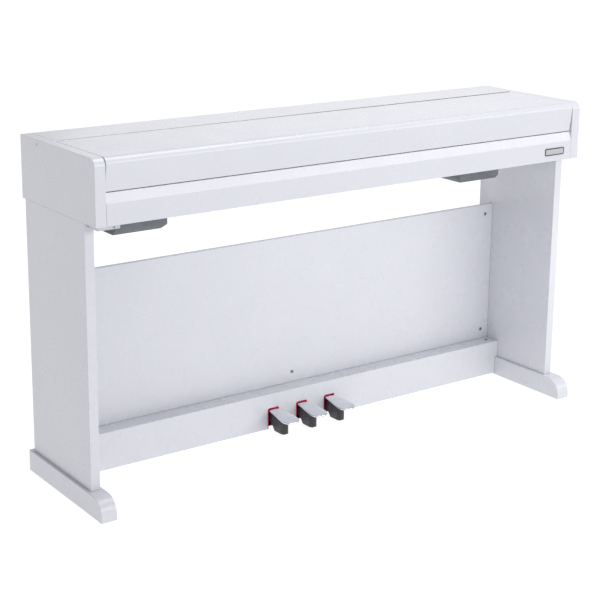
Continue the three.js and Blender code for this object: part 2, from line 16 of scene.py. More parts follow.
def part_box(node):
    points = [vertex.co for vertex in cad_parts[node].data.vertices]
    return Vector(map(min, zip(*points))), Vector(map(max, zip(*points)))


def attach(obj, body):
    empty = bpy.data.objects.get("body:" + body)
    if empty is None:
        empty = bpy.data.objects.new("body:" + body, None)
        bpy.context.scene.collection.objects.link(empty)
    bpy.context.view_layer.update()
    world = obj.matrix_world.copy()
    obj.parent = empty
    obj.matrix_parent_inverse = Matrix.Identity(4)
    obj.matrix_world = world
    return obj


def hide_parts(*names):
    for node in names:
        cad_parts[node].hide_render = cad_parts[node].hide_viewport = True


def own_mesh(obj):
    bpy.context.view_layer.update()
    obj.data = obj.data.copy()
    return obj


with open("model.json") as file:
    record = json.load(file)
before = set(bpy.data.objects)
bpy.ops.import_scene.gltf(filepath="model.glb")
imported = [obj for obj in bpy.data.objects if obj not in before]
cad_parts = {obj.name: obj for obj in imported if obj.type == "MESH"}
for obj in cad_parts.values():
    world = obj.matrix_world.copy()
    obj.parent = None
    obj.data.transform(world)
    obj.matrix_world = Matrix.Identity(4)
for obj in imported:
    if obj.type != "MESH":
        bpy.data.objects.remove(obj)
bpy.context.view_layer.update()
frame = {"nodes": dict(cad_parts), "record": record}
scene = bpy.context.scene

MM = 0.001
SIDES = {"left": -1, "right": 1}
PEDALS = ("left", "middle", "right")
TIP = 1e-6  # Radius of the tiny disc that ends a turned shape, in its profile's unit


# Camera, floor and light


def add_camera():
    """The photograph's viewpoint, fitted to the object's outlines in it."""
    data = bpy.data.cameras.new("camera")
    data.sensor_width = 36
    data.lens = 87.33
    data.shift_x = 0.05
    data.shift_y = -0.1
    camera = bpy.data.objects.new("camera", data)
    yaw, pitch, roll = math.radians(34.59), math.radians(-14.26), math.radians(0.3)
    camera.matrix_world = (
        Matrix.Translation((-1.99728, -2.69006, 1.33359))
        @ Matrix.Rotation(-yaw, 4, "Z")
        @ Matrix.Rotation(math.pi / 2 + pitch, 4, "X")
        @ Matrix.Rotation(roll, 4, "Z")
    )
    scene.collection.objects.link(camera)
    scene.camera = camera


def add_softbox(name, place, aim, size, power):
    """A rectangular area light, size wide and high, facing from place to aim."""
    data = bpy.data.lights.new(name, "AREA")
    data.shape = "RECTANGLE"
    data.size, data.size_y = size
    data.energy = power
    light = bpy.data.objects.new(name, data)
    light.location = place
    light.rotation_euler = (Vector(aim) - Vector(place)).to_track_quat("-Z", "Y").to_euler()
    light.visible_camera = False
    scene.collection.objects.link(light)


def add_studio():
    """An even fill, five softboxes, of which a low one is for the pedals, and a lit floor."""
    world = bpy.data.worlds.new("studio")
    world.use_nodes = True
    background = world.node_tree.nodes["Background"]
    background.inputs["Color"].default_value = (0.98, 0.985, 1.0, 1.0)
    background.inputs["Strength"].default_value = 0.5
    scene.world = world
    scene.view_settings.view_transform = "Standard"

    middle = (0, 0, 0.5)
    add_softbox("front_softbox", (0.25, -3.0, 1.6), middle, (1.6, 1.0), 15.5)
    add_softbox("low_softbox", (0.35, -0.45, 0.5), (0.35, -0.27, 0.145), (1.0, 0.14), 0.65)
    add_softbox("side_softbox", (2.35, -3.25, 1.55), middle, (3.0, 0.5), 33)
    add_softbox("overhead_softbox", (0.6, -0.3, 3.2), middle, (1.8, 1.8), 42)
    add_softbox("rear_softbox", (3.4, 4.5, 1.9), middle, (3.4, 1.0), 9)

    reach = 30.0
    mesh = bpy.data.meshes.new("floor")
    corners = [(-reach, -reach, 0), (reach, -reach, 0), (reach, reach, 0), (-reach, reach, 0)]
    mesh.from_pydata(corners, [], [(0, 1, 2, 3)])
    floor = bpy.data.objects.new("floor", mesh)
    scene.collection.objects.link(floor)
    glow = {"Emission Color": (1.0, 1.0, 1.0, 1.0), "Emission Strength": 0.94}
    finish = Finish("floor", (100, 100, 101), 0.6, glow)
    finish.roughness(finish.noise(0.4), 0.55, 0.65)
    mesh.materials.append(finish.material)


# Finishes


def linear(rgb):
    """A display colour from 0 to 255 as the linear colour that a shader takes."""
    return tuple((c / 255) ** 2.2 for c in rgb) + (1.0,)


class Finish:
    """A Principled material whose colour, roughness and relief vary in the object's own space."""

    def __init__(self, name, rgb, roughness, sockets=None):
        self.material = bpy.data.materials.new(name)
        self.material.use_nodes = True
        self.nodes = self.material.node_tree.nodes
        self.links = self.material.node_tree.links
        self.shader = self.nodes["Principled BSDF"]
        self.shader.inputs["Base Color"].default_value = linear(rgb)
        self.shader.inputs["Roughness"].default_value = roughness
        for socket, value in (sockets or {}).items():
            self.shader.inputs[socket].default_value = value
        self.place = self.nodes.new("ShaderNodeTexCoord").outputs["Object"]
        self.normal = None

    def scaled(self, size):
        """Coordinates in which one unit is size along each axis."""
        mapping = self.nodes.new("ShaderNodeMapping")
        mapping.inputs["Scale"].default_value = [1 / s for s in size]
        self.links.new(self.place, mapping.inputs["Vector"])
        return mapping.outputs["Vector"]

    def noise(self, size, detail=2.0, roughness=0.5):
        """Cloudy noise whose patches are about size across: one length, or one for each axis."""
        size = (size,) * 3 if isinstance(size, float) else size
        node = self.nodes.new("ShaderNodeTexNoise")
        node.inputs["Scale"].default_value = 1.0
        node.inputs["Detail"].default_value = detail
        node.inputs["Roughness"].default_value = roughness
        self.links.new(self.scaled(size), node.inputs["Vector"])
        return node.outputs["Fac"]

    def cells(self, size):
        """The distance to the nearest of many points that are about size apart."""
        node = self.nodes.new("ShaderNodeTexVoronoi")
        node.inputs["Scale"].default_value = 1.0
        self.links.new(self.scaled((size,) * 3), node.inputs["Vector"])
        return node.outputs["Distance"]

    def colour(self, factor, dark, light, low=0.3, high=0.7):
        """The surface's colour goes from dark to light as factor goes from low to high."""
        ramp = self.nodes.new("ShaderNodeValToRGB")
        first, last = ramp.color_ramp.elements
        first.position, first.color = low, linear(dark)
        last.position, last.color = high, linear(light)
        self.links.new(factor, ramp.inputs["Fac"])
        self.links.new(ramp.outputs["Color"], self.shader.inputs["Base Color"])

    def roughness(self, factor, smooth, rough, low=0.3, high=0.7):
        """The surface's roughness goes from smooth to rough as factor goes from low to high."""
        remap = self.nodes.new("ShaderNodeMapRange")
        remap.inputs["From Min"].default_value = low
        remap.inputs["From Max"].default_value = high
        remap.inputs["To Min"].default_value = smooth
        remap.inputs["To Max"].default_value = rough
        self.links.new(factor, remap.inputs["Value"])
        self.links.new(remap.outputs["Result"], self.shader.inputs["Roughness"])

    def relief(self, height, depth, strength):
        """Bumps of the given depth, on top of any that are there already."""
        bump = self.nodes.new("ShaderNodeBump")
        bump.inputs["Distance"].default_value = depth
        bump.inputs["Strength"].default_value = strength
        self.links.new(height, bump.inputs["Height"])
        if self.normal:
            self.links.new(self.normal, bump.inputs["Normal"])
        self.normal = bump.outputs["Normal"]
        self.links.new(self.normal, self.shader.inputs["Normal"])


def white_foil():
    """Satin white foil on board, with the faintest orange peel and pressed grain."""
    finish = Finish("white_board", (211, 212, 219), 0.28, {"Specular IOR Level": 0.5})
    finish.colour(finish.noise(0.12, 2.0), (210, 211, 218), (212, 213, 220))
    finish.roughness(finish.noise(0.05, 3.0), 0.26, 0.3)
    finish.relief(finish.noise(1.6 * MM), 0.01 * MM, 0.15)
    finish.relief(finish.noise((14 * MM, 0.7 * MM, 0.7 * MM), 3.0), 0.006 * MM, 0.12)
    return finish.material


def key_white():
    coat = {"Coat Weight": 0.5, "Coat Roughness": 0.06}
    finish = Finish("key_white", (240, 239, 233), 0.14, coat)
    finish.colour(finish.noise(0.05, 3.0), (238, 237, 230), (243, 242, 237))
    finish.roughness(finish.noise(0.012, 4.0), 0.12, 0.24)
    finish.relief(finish.noise(3.0 * MM), 0.02 * MM, 0.4)
    return finish.material


def key_black():
    finish = Finish("key_black", (24, 24, 26), 0.34)
    finish.colour(finish.noise(0.02, 3.0), (20, 20, 22), (30, 30, 33))
    finish.roughness(finish.noise((0.6 * MM, 9 * MM, 0.6 * MM), 3.0), 0.28, 0.44)
    finish.relief(finish.noise((0.5 * MM, 8 * MM, 0.5 * MM), 3.0), 0.03 * MM, 0.5)
    return finish.material


def moulded(name, rgb, roughness=0.5, grain=0.5 * MM):
    """Moulded plastic with a fine spark-eroded grain."""
    finish = Finish(name, rgb, roughness)
    darker = tuple(0.94 * c for c in rgb)
    lighter = tuple(min(255, 1.05 * c) for c in rgb)
    finish.colour(finish.noise(0.025, 3.0), darker, lighter)
    finish.roughness(finish.noise(4.0 * MM, 3.0), roughness - 0.06, roughness + 0.08)
    finish.relief(finish.cells(grain), 0.06 * MM, 0.5)
    finish.relief(finish.noise(2 * grain), 0.04 * MM, 0.4)
    return finish.material


def speaker_paper():
    finish = Finish("speaker_black", (30, 30, 31), 0.85)
    finish.colour(finish.noise(1.4 * MM, 5.0, 0.7), (20, 20, 21), (44, 43, 42))
    finish.relief(finish.noise(0.8 * MM, 5.0, 0.7), 0.2 * MM, 0.8)
    return finish.material


def felt():
    """Pressed wool felt: matted fibres, a soft sheen and a mottled dye."""
    sheen = {"Sheen Weight": 0.6, "Sheen Roughness": 0.4, "Sheen Tint": linear((255, 150, 170))}
    finish = Finish("red_felt", (214, 40, 86), 0.95, sheen)
    fibres = finish.noise((0.25 * MM, 0.9 * MM, 0.3 * MM), 6.0, 0.75)
    finish.colour(fibres, (176, 18, 58), (236, 56, 104))
    finish.relief(fibres, 0.3 * MM, 0.9)
    finish.relief(finish.noise(1.2 * MM, 4.0), 0.3 * MM, 0.6)
    return finish.material


def zinc():
    """Dark zinc-plated steel with a faint spangle and rolling marks."""
    finish = Finish("steel", (134, 132, 131), 0.42, {"Metallic": 1.0})
    finish.colour(finish.cells(3.5 * MM), (122, 120, 119), (146, 144, 143), 0.1, 0.9)
    finish.roughness(finish.noise((20 * MM, 0.4 * MM, 0.4 * MM), 3.0), 0.36, 0.5)
    finish.relief(finish.noise((18 * MM, 0.3 * MM, 0.3 * MM), 2.0), 0.01 * MM, 0.4)
    return finish.material


def chrome():
    """Polished chrome with hairline scratches along the foot's path and a few smudges."""
    finish = Finish("chrome", (222, 224, 229), 0.07, {"Metallic": 1.0})
    finish.colour(finish.noise(0.02, 3.0), (217, 219, 224), (228, 230, 234))
    finish.roughness(finish.noise((0.12 * MM, 6 * MM, 1 * MM), 4.0, 0.7), 0.05, 0.2, 0.45, 0.8)
    finish.relief(finish.noise((0.08 * MM, 5 * MM, 1 * MM), 3.0), 0.004 * MM, 0.5)
    return finish.material


def brushed_badge():
    finish = Finish("badge", (190, 191, 195), 0.28, {"Metallic": 1.0})
    finish.colour(finish.noise((6 * MM, 1 * MM, 0.15 * MM), 3.0), (180, 181, 185), (200, 201, 204))
    finish.roughness(finish.noise((9 * MM, 1 * MM, 0.1 * MM), 3.0), 0.22, 0.4)
    finish.relief(finish.noise((9 * MM, 1 * MM, 0.1 * MM), 2.0), 0.008 * MM, 0.5)
    return finish.material


def circuit_lacquer():
    finish = Finish("circuit_green", (28, 92, 52), 0.3, {"Coat Weight": 0.4})
    tracks = finish.nodes.new("ShaderNodeTexBrick")
    tracks.inputs["Scale"].default_value = 90.0
    tracks.inputs["Mortar Size"].default_value = 0.03
    tracks.inputs["Color1"].default_value = linear((24, 84, 48))
    tracks.inputs["Color2"].default_value = linear((30, 98, 55))
    tracks.inputs["Mortar"].default_value = linear((70, 150, 96))
    finish.links.new(finish.place, tracks.inputs["Vector"])
    finish.links.new(tracks.outputs["Color"], finish.shader.inputs["Base Color"])
    finish.relief(tracks.outputs["Fac"], 0.05 * MM, 0.6)
    finish.roughness(finish.noise(0.01, 3.0), 0.25, 0.38)
    return finish.material


def soft_rubber():
    finish = Finish("rubber", (34, 34, 35), 0.8)
    finish.colour(finish.noise(4.0 * MM, 3.0), (28, 28, 29), (42, 42, 43))
    finish.roughness(finish.noise(1.5 * MM, 3.0), 0.7, 0.9)
    finish.relief(finish.noise(0.6 * MM, 3.0), 0.05 * MM, 0.5)
    return finish.material


def indicator_lens():
    finish = Finish("indicator_lens", (120, 14, 16), 0.12, {"Coat Weight": 0.6})
    finish.colour(finish.noise(1.0 * MM), (108, 10, 12), (134, 18, 20))
    finish.relief(finish.noise(0.7 * MM), 0.02 * MM, 0.4)
    return finish.material


FINISHES = {
    "white_board": white_foil(),
    "key_white": key_white(),
    "key_black": key_black(),
    "grey_plastic": moulded("grey_plastic", (104, 108, 113), 0.5),
    "light_grey_plastic": moulded("light_grey_plastic", (190, 192, 197), 0.42, 0.4 * MM),
    "black_plastic": moulded("black_plastic", (46, 46, 49), 0.46, 0.6 * MM),
    "pedal_plastic": moulded("pedal_plastic", (52, 51, 55), 0.27, 0.45 * MM),
    "speaker_black": speaker_paper(),
    "red_felt": felt(),
    "steel": zinc(),
    "chrome": chrome(),
    "badge": brushed_badge(),
    "circuit_green": circuit_lacquer(),
    "rubber": soft_rubber(),
}
SLOT_OF_NODE = {row["node"]: row["material_slot"] for row in frame["record"]["subparts"]}
BODY_OF_NODE = {
    node: body for body, nodes in frame["record"]["behaviour"]["bodies"].items() for node in nodes
}


# Meshes


def closed_mesh(name, vertices, faces):
    """A mesh with doubled points merged, whose faces all point out."""
    mesh = bpy.data.meshes.new(name)
    mesh.from_pydata(vertices, [], faces)
    edit = bmesh.new()
    edit.from_mesh(mesh)
    bmesh.ops.remove_doubles(edit, verts=edit.verts, dist=1e-7)
    bmesh.ops.recalc_face_normals(edit, faces=edit.faces)
    edit.to_mesh(mesh)
    edit.free()
    return mesh


def loft(name, rings, close_ends=True):
    """Skin over closed rings that all have the same number of points."""
    count = len(rings[0])
    vertices = [point for ring in rings for point in ring]
    faces = []
    for start in range(0, len(vertices) - count, count):
        for j in range(count):
            k = (j + 1) % count
            faces.append((start + j, start + k, start + count + k, start + count + j))
    if close_ends:
        faces.append(tuple(range(count)))
        faces.append(tuple(range(len(vertices) - count, len(vertices))))
    return closed_mesh(name, vertices, faces)


def prism_along_x(name, profile, x):
    """A closed profile in (y, z) swept from one x to another."""
    return loft(name, [[(end, y, z) for y, z in profile] for end in x])


def turned(name, profile, centre, axis="Z", steps=48):
    """A profile of (radius, height) spun round a line through centre, its ends closed by discs."""
    turn = {"X": Matrix.Rotation(math.pi / 2, 4, "Y"), "Y": Matrix.Rotation(-math.pi / 2, 4, "X")}
    place = Matrix.Translation(centre) @ turn.get(axis, Matrix.Identity(4))
    angles = [2 * math.pi * i / steps for i in range(steps)]
    rings = []
    for radius, height in profile:
        ring = [Vector((radius * math.cos(a), radius * math.sin(a), height)) for a in angles]
        rings.append([place @ point for point in ring])
    return loft(name, rings)


def arc(centre, radius, start, stop, steps):
    """Points of an arc in a plane, angles in degrees."""
    angles = [math.radians(start + (stop - start) * i / steps) for i in range(steps + 1)]
    return [
        (centre[0] + radius * math.cos(a), centre[1] + radius * math.sin(a)) for a in angles
    ]


def in_mm(points):
    return [tuple(value * MM for value in point) for point in points]


def inset(outline, distance):
    """A closed anticlockwise outline in a plane, moved in by distance, though not far at spikes."""
    moved = []
    for i, point in enumerate(outline):
        before = (Vector(point) - Vector(outline[i - 1])).normalized()
        after = (Vector(outline[(i + 1) % len(outline)]) - Vector(point)).normalized()
        inward = Vector((-before.y, before.x)), Vector((-after.y, after.x))
        middle = (inward[0] + inward[1]).normalized()
        moved.append(Vector(point) + middle * distance / max(middle.dot(inward[0]), 0.3))
    return [tuple(point) for point in moved]


def tube(name, path, radius, sides=10):
    """A round wire along a path of points."""
    path = [Vector(point) for point in path]
    angles = [2 * math.pi * j / sides for j in range(sides)]
    rings = []
    across = Vector((0, 0, 1))
    for i, point in enumerate(path):
        ahead = path[min(i + 1, len(path) - 1)] - path[max(i - 1, 0)]
        ahead.normalize()
        across = (across - ahead * across.dot(ahead)).normalized()
        other = ahead.cross(across)
        around = [across * math.cos(a) + other * math.sin(a) for a in angles]
        rings.append([point + radius * direction for direction in around])
    return loft(name, rings)


def carved(mesh, *cutters):
    """A mesh with other meshes cut out of it."""
    whole = bpy.data.objects.new("whole", mesh)
    scene.collection.objects.link(whole)
    tools = []
    for cutter in cutters:
        tool = bpy.data.objects.new("tool", cutter)
        scene.collection.objects.link(tool)
        cut = whole.modifiers.new("cut", "BOOLEAN")
        cut.operation = "DIFFERENCE"
        cut.solver = "EXACT"
        cut.object = tool
        tools.append(tool)
    evaluated = whole.evaluated_get(bpy.context.evaluated_depsgraph_get())
    result = bpy.data.meshes.new_from_object(evaluated)
    for spent in (whole, *tools):
        bpy.data.objects.remove(spent)
    return result


# Pieces

SHARP_ANGLE = 12.5


def add_piece(name, mesh, body, slot, stands_for=(), sharp=None):
    """A new piece in a slot's finish, which rides on a body and may stand for CAD nodes.

    With sharp, it's shaded smooth but for the edges that turn more than that many degrees.
    """
    piece = bpy.data.objects.new(name, mesh)
    scene.collection.objects.link(piece)
    mesh.materials.clear()
    mesh.materials.append(FINISHES[slot])
    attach(piece, body)
    if stands_for:
        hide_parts(*stands_for)
    if sharp is not None:
        mesh.shade_smooth()
        edit = bmesh.new()
        edit.from_mesh(mesh)
        for edge in edit.edges:
            edge.smooth = math.degrees(edge.calc_face_angle(0)) <= sharp
        edit.to_mesh(mesh)
        edit.free()
    return piece


def round_edges(piece, width, segments=3, limit=SHARP_ANGLE, joint_z=None):
    """Rounds the edges that turn more than limit degrees, and keeps flat faces flat.

    Edges at the height joint_z, where two boards butt, stay sharp.
    """
    piece.data.shade_smooth()
    edit = bmesh.new()
    edit.from_mesh(piece.data)
    weights = edit.edges.layers.float.new("bevel_weight_edge")
    for edge in edit.edges:
        if math.degrees(edge.calc_face_angle(0)) > limit:
            joined = joint_z is not None and all(abs(v.co.z - joint_z) < 1e-5 for v in edge.verts)
            edge[weights] = 0.0 if joined else 1.0
            edge.smooth = not joined
    edit.to_mesh(piece.data)
    edit.free()
    bevel = piece.modifiers.new("rounded_edges", "BEVEL")
    bevel.width = width
    bevel.segments = segments
    bevel.limit_method = "WEIGHT"
    flat = piece.modifiers.new("flat_faces", "WEIGHTED_NORMAL")
    flat.keep_sharp = joint_z is not None


def dress(node, width, segments=3, limit=SHARP_ANGLE, joint_z=None):
    """A copy of a CAD node with rounded edges, which stands for it."""
    mesh = frame["nodes"][node].data.copy()
    edit = bmesh.new()
    edit.from_mesh(mesh)
    bmesh.ops.remove_doubles(edit, verts=edit.verts, dist=1e-6)
    bmesh.ops.dissolve_limit(
        edit, angle_limit=math.radians(0.5), verts=edit.verts, edges=edit.edges
    )
    edit.to_mesh(mesh)
    edit.free()
    piece = add_piece(f"{node}_finished", mesh, BODY_OF_NODE[node], SLOT_OF_NODE[node], [node])
    round_edges(piece, width, segments, limit, joint_z)


def refinish(node):
    """A CAD node whose shape is right keeps it and takes its slot's finish."""
    part = frame["nodes"][node]
    for place in part.material_slots:
        place.material = FINISHES[SLOT_OF_NODE[node]]


# Screws


def screw_head(radius, height):
    """A pan head with a cross recess, standing on the plane z = 0."""
    dome = [
        (radius * math.cos(math.radians(a)), (0.35 + 0.65 * math.sin(math.radians(a))) * height)
        for a in (0, 20, 40, 60, 80)
    ]
    head = turned("screw_head", [(radius, 0), *dome, (TIP, height)], (0, 0, 0), steps=28)
    long, short, floor = 0.52 * radius, 0.18 * radius, 0.25 * height
    arms = []
    for half_x, half_y in ((long, short), (short, long)):
        top = [(x, y, 2 * height) for x, y in rectangle(half_x, half_y)]
        bottom = [(x, y, floor) for x, y in rectangle(0.6 * half_x, 0.6 * half_y)]
        arms.append(loft("recess", [bottom, top]))
    return carved(head, *arms)


def rectangle(half_x, half_y):
    return [(-half_x, -half_y), (half_x, -half_y), (half_x, half_y), (-half_x, half_y)]


def add_screw(name, mesh, place, facing, spin):
    """One screw with its head's underside at place, facing along a direction."""
    turn = Vector(facing).to_track_quat("Z", "Y").to_matrix().to_4x4()
    copy = mesh.copy()
    copy.transform(Matrix.Translation(place) @ turn @ Matrix.Rotation(math.radians(spin), 4, "Z"))
    add_piece(name, copy, "cabinet", "steel", sharp=30.0)


# Case


def build_case():
    for side in SIDES:
        dress(f"{side}_cheek", 0.9 * MM, 4, joint_z=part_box(f"{side}_cheek")[0].z)
        dress(f"{side}_key_block", 1.0 * MM)
    dress("rear_top_board", 0.8 * MM)
    dress("rear_board", 0.8 * MM)
    dress("bottom_board", 0.8 * MM)
    dress("key_slip", 0.8 * MM)
    build_badge()
    build_cheek_caps()


def build_cheek_caps():
    """A small cap over the fitting near the top rear corner of each end."""
    for side, sign in SIDES.items():
        low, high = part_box(f"{side}_cheek")
        face = high.x if sign > 0 else low.x
        profile = [(TIP, -0.4), (3.4, -0.4), (3.4, 0.25), (3.0, 0.6), (1.6, 0.72), (TIP, 0.75)]
        outward = [(radius, sign * height) for radius, height in in_mm(profile)]
        mesh = turned("cheek_cap", outward, (face, low.y + 259.5 * MM, high.z - 11 * MM), "X")
        add_piece(f"{side}_cheek_cap", mesh, "cabinet", "light_grey_plastic", sharp=40.0)


def rounded_rectangle(low, high, radius, steps=6):
    """An anticlockwise outline with round corners."""
    corners = [
        ((high[0] - radius, high[1] - radius), 0),
        ((low[0] + radius, high[1] - radius), 90),
        ((low[0] + radius, low[1] + radius), 180),
        ((high[0] - radius, low[1] + radius), 270),
    ]
    return [p for centre, start in corners for p in arc(centre, radius, start, start + 90, steps)]


def build_badge():
    """A plain brushed plate in a dark rim."""
    low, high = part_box("badge_plate")
    outer = rounded_rectangle((low.x, low.z), (high.x, high.z), 3 * MM)
    rim_width = 2.3 * MM
    soft = 0.3 * MM
    inner = inset(outer, rim_width)

    def level(outline, y):
        return [(x, y, z) for x, z in outline]

    rim = [
        level(outer, high.y),
        level(outer, low.y + soft),
        level(inset(outer, soft), low.y),
        level(inset(outer, rim_width - soft), low.y),
        level(inner, low.y + soft),
        level(inner, high.y),
    ]
    mesh = loft("badge_rim", [*rim, rim[0]], close_ends=False)
    add_piece("badge_rim", mesh, "cabinet", "black_plastic", ["badge_plate"], sharp=30.0)

    face_y = low.y + 0.35 * MM
    edge = 0.2 * MM
    face = [
        level(inner, high.y),
        level(inner, face_y + edge),
        level(inset(inner, edge), face_y),
    ]
    add_piece("badge_face", loft("badge_face", face), "cabinet", "badge", sharp=30.0)


# Lid


def build_lid():
    """The lid as one skin, with a round nose and a front that leans back to the finger groove."""
    board_low, board_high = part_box("lid_board")
    front_low, front_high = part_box("lid_front_board")
    nose = 15 * MM
    thickness = 11 * MM
    chamfer = 2 * MM
    corner = 5 * MM
    front, back = board_low.y, board_high.y
    top, under = board_high.z, board_low.z
    inner_corner = (front + thickness + corner, under - corner)
    profile = [
        (back, under),
        (back, top - chamfer),
        (back - chamfer, top),
        *arc((front + nose, top - nose), nose, 90, 180, 20),
        (front_high.y - thickness, front_low.z),
        (front_high.y, front_low.z),
        *reversed(arc(inner_corner, corner, 90, 176, 6)),
    ]
    mesh = prism_along_x("lid_skin", profile, (board_low.x, board_high.x))
    lid = add_piece("lid_skin", mesh, "lid", "white_board", ["lid_board", "lid_front_board"])
    round_edges(lid, 0.8 * MM)

    for node in ("hinge_fixed_leaf", "hinge_lid_leaf", "hinge_pin"):
        refinish(node)
    build_hinge_flanges(board_low, board_high)
    build_edge_strips(board_low, board_high, nose)
    for side in SIDES:
        build_lid_buffer(f"{side}_lid_buffer")


def build_lid_buffer(node):
    """A domed rubber buffer."""
    low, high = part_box(node)
    radius, height = (high.x - low.x) / 2, high.z - low.z
    profile = [
        (TIP, 0),
        (radius, 0),
        (radius, 0.55 * height),
        (0.85 * radius, 0.85 * height),
        (0.5 * radius, 0.97 * height),
        (TIP, height),
    ]
    centre = ((low.x + high.x) / 2, (low.y + high.y) / 2, low.z)
    mesh = turned(node, profile, centre, steps=24)
    add_piece(f"{node}_moulded", mesh, "cabinet", "rubber", [node], sharp=50.0)


def build_hinge_flanges(board_low, board_high):
    """The hinge's folded edges, which lie on the slopes either side of it."""
    pin_low, pin_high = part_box("hinge_pin")
    centre = (pin_low.y + pin_high.y) / 2
    half_gap = centre - board_high.y
    top = board_high.z
    drop, lift, wall, end_gap = 2.1 * MM, 0.25 * MM, 0.2 * MM, 1 * MM
    for name, sign, body in (("fixed", 1, "cabinet"), ("lid", -1, "lid")):
        edge = centre + sign * half_gap
        profile = [
            (edge - sign * lift, top - drop - 1.5 * MM),
            (edge + sign * wall, top - drop - 1.5 * MM),
            (edge + sign * wall, top - drop),
            (edge + sign * (drop + 0.6 * MM), top - lift),
            (edge + sign * (drop - 0.2 * MM), top - 0.05 * MM),
            (edge - sign * lift, top - drop),
        ]
        ends = (board_low.x + end_gap, board_high.x - end_gap)
        mesh = prism_along_x("hinge_flange", profile, ends)
        add_piece(f"hinge_{name}_flange", mesh, body, "steel", sharp=20.0)


def build_edge_strips(board_low, board_high, nose):
    """Strips on the ends' inner faces that close most of the gap beside the lid's flat top."""
    depth, rise, foot = 12 * MM, 1.0 * MM, 0.2 * MM
    low_corner = (board_low.y + nose, board_high.z - depth)
    high_corner = (board_high.y, board_high.z - 0.5 * MM)
    for side, sign in SIDES.items():
        low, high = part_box(f"{side}_cheek")
        inner = low.x if sign > 0 else high.x
        ends = sorted((inner + sign * foot, inner - sign * rise))
        section = rounded_rectangle(low_corner, high_corner, 0.4 * MM, 3)
        mesh = prism_along_x("edge_strip", section, ends)
        add_piece(f"{side}_edge_strip", mesh, "cabinet", "white_board", sharp=30.0)


# Keyboard

# Notes count up from the C below the keyboard. A black key's shift is from the gap that it covers.
BLACK_SHIFT = {1: -1.8 * MM, 3: 1.8 * MM, 6: -2.4 * MM, 8: 0.0, 10: 2.4 * MM}
LOWEST_NOTE = 9
WHITE_KEYS = 52
MIDDLE_C = 48
MIDDLE_NAMES = ("c", "c_sharp", "d", "d_sharp", "e")
KEY_GAP = 1 * MM
BLACK_WIDTH = 10.5 * MM


def lay_out_keys():
    """Every note with the place of its key, and the CAD node that it belongs to."""
    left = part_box("bass_white_keys")[0].x - KEY_GAP / 2
    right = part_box("treble_white_keys")[1].x + KEY_GAP / 2
    pitch = (right - left) / WHITE_KEYS
    keys = []
    whites = 0
    note = LOWEST_NOTE
    while whites < WHITE_KEYS:
        step = note % 12
        edge = left + whites * pitch
        colour = "black" if step in BLACK_SHIFT else "white"
        above = note - MIDDLE_C
        if 0 <= above < len(MIDDLE_NAMES):
            node = f"middle_{MIDDLE_NAMES[above]}_key"
        else:
            node = f"{'bass' if above < 0 else 'treble'}_{colour}_keys"
        if colour == "black":
            centre = edge + BLACK_SHIFT[step]
            reach = (centre - BLACK_WIDTH / 2, centre + BLACK_WIDTH / 2)
        else:
            reach = (edge + KEY_GAP / 2, edge + pitch - KEY_GAP / 2)
            whites += 1
        keys.append({"colour": colour, "left": reach[0], "right": reach[1], "node": node})
        note += 1
    return keys


def white_key(edit, key, before, after, head_back):
    """A white key's top with its notches, and the apron under its front edge."""
    low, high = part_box(key["node"])
    left, right, front, top = key["left"], key["right"], low.y, high.z
    clearance = 1.2 * MM
    tail_left = before["right"] + clearance if before and before["colour"] == "black" else left
    tail_right = after["left"] - clearance if after and after["colour"] == "black" else right
    notch = head_back - 1 * MM
    stem_back = high.y - 22 * MM
    apron_back = front + 3 * MM
    body_under = top - 14 * MM
    apron_under = top - 20 * MM
    outline = [(right, apron_back)]
    if tail_right < right:
        outline += [(right, notch), (tail_right, notch)]
    outline += [(tail_right, stem_back), (tail_left, stem_back)]
    if tail_left > left:
        outline += [(tail_left, notch), (left, notch)]
    outline.append((left, apron_back))
    body = [edit.verts.new((x, y, body_under)) for x, y in outline]
    apron = [edit.verts.new((x, front, body_under)) for x in (left, right)]
    faces = [edit.faces.new(body), edit.faces.new([apron[0], apron[1], body[0], body[-1]])]
    raised = bmesh.ops.extrude_face_region(edit, geom=faces, use_keep_orig=True)["geom"]
    lifted = [part for part in raised if isinstance(part, bmesh.types.BMVert)]
    bmesh.ops.translate(edit, verts=lifted, vec=(0, 0, top - body_under))
    tops = [part for part in raised if isinstance(part, bmesh.types.BMFace)]
    bmesh.ops.dissolve_faces(edit, faces=tops)
    lowered = bmesh.ops.extrude_face_region(edit, geom=[faces[1]], use_keep_orig=True)["geom"]
    edit.faces.remove(faces[1])  # It lies inside the key now
    dropped = [part for part in lowered if isinstance(part, bmesh.types.BMVert)]
    bmesh.ops.translate(edit, verts=dropped, vec=(0, 0, apron_under - body_under))


def add_prism(edit, bottom, top):
    """A closed block between two outlines with the same number of points."""
    low = [edit.verts.new(point) for point in bottom]
    high = [edit.verts.new(point) for point in top]
    edit.faces.new(low)
    edit.faces.new(high)
    for i in range(len(low)):
        j = (i + 1) % len(low)
        edit.faces.new([low[i], low[j], high[j], high[i]])


def quad(x, y, z):
    return [(x[0], y[0], z), (x[1], y[0], z), (x[1], y[1], z), (x[0], y[1], z)]


def black_key(edit, key, head_front, head_back, white_top):
    """A tapered black key with a sloping front, on the stem that carries it."""
    low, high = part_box(key["node"])
    taper = 0.8 * MM
    slope = 7 * MM
    left, right = key["left"], key["right"]
    base = white_top - 1.2 * MM
    top = (left + taper, right - taper)
    add_prism(
        edit,
        quad((left, right), (head_front, head_back), base),
        quad(top, (head_front + slope, head_back), high.z),
    )
    stem = (left + 0.4 * MM, right - 0.4 * MM)
    stem_back = high.y - 19.5 * MM
    add_prism(
        edit,
        quad(stem, (head_front + 1 * MM, stem_back), low.z),
        quad(stem, (head_front + 1 * MM, stem_back), base),
    )


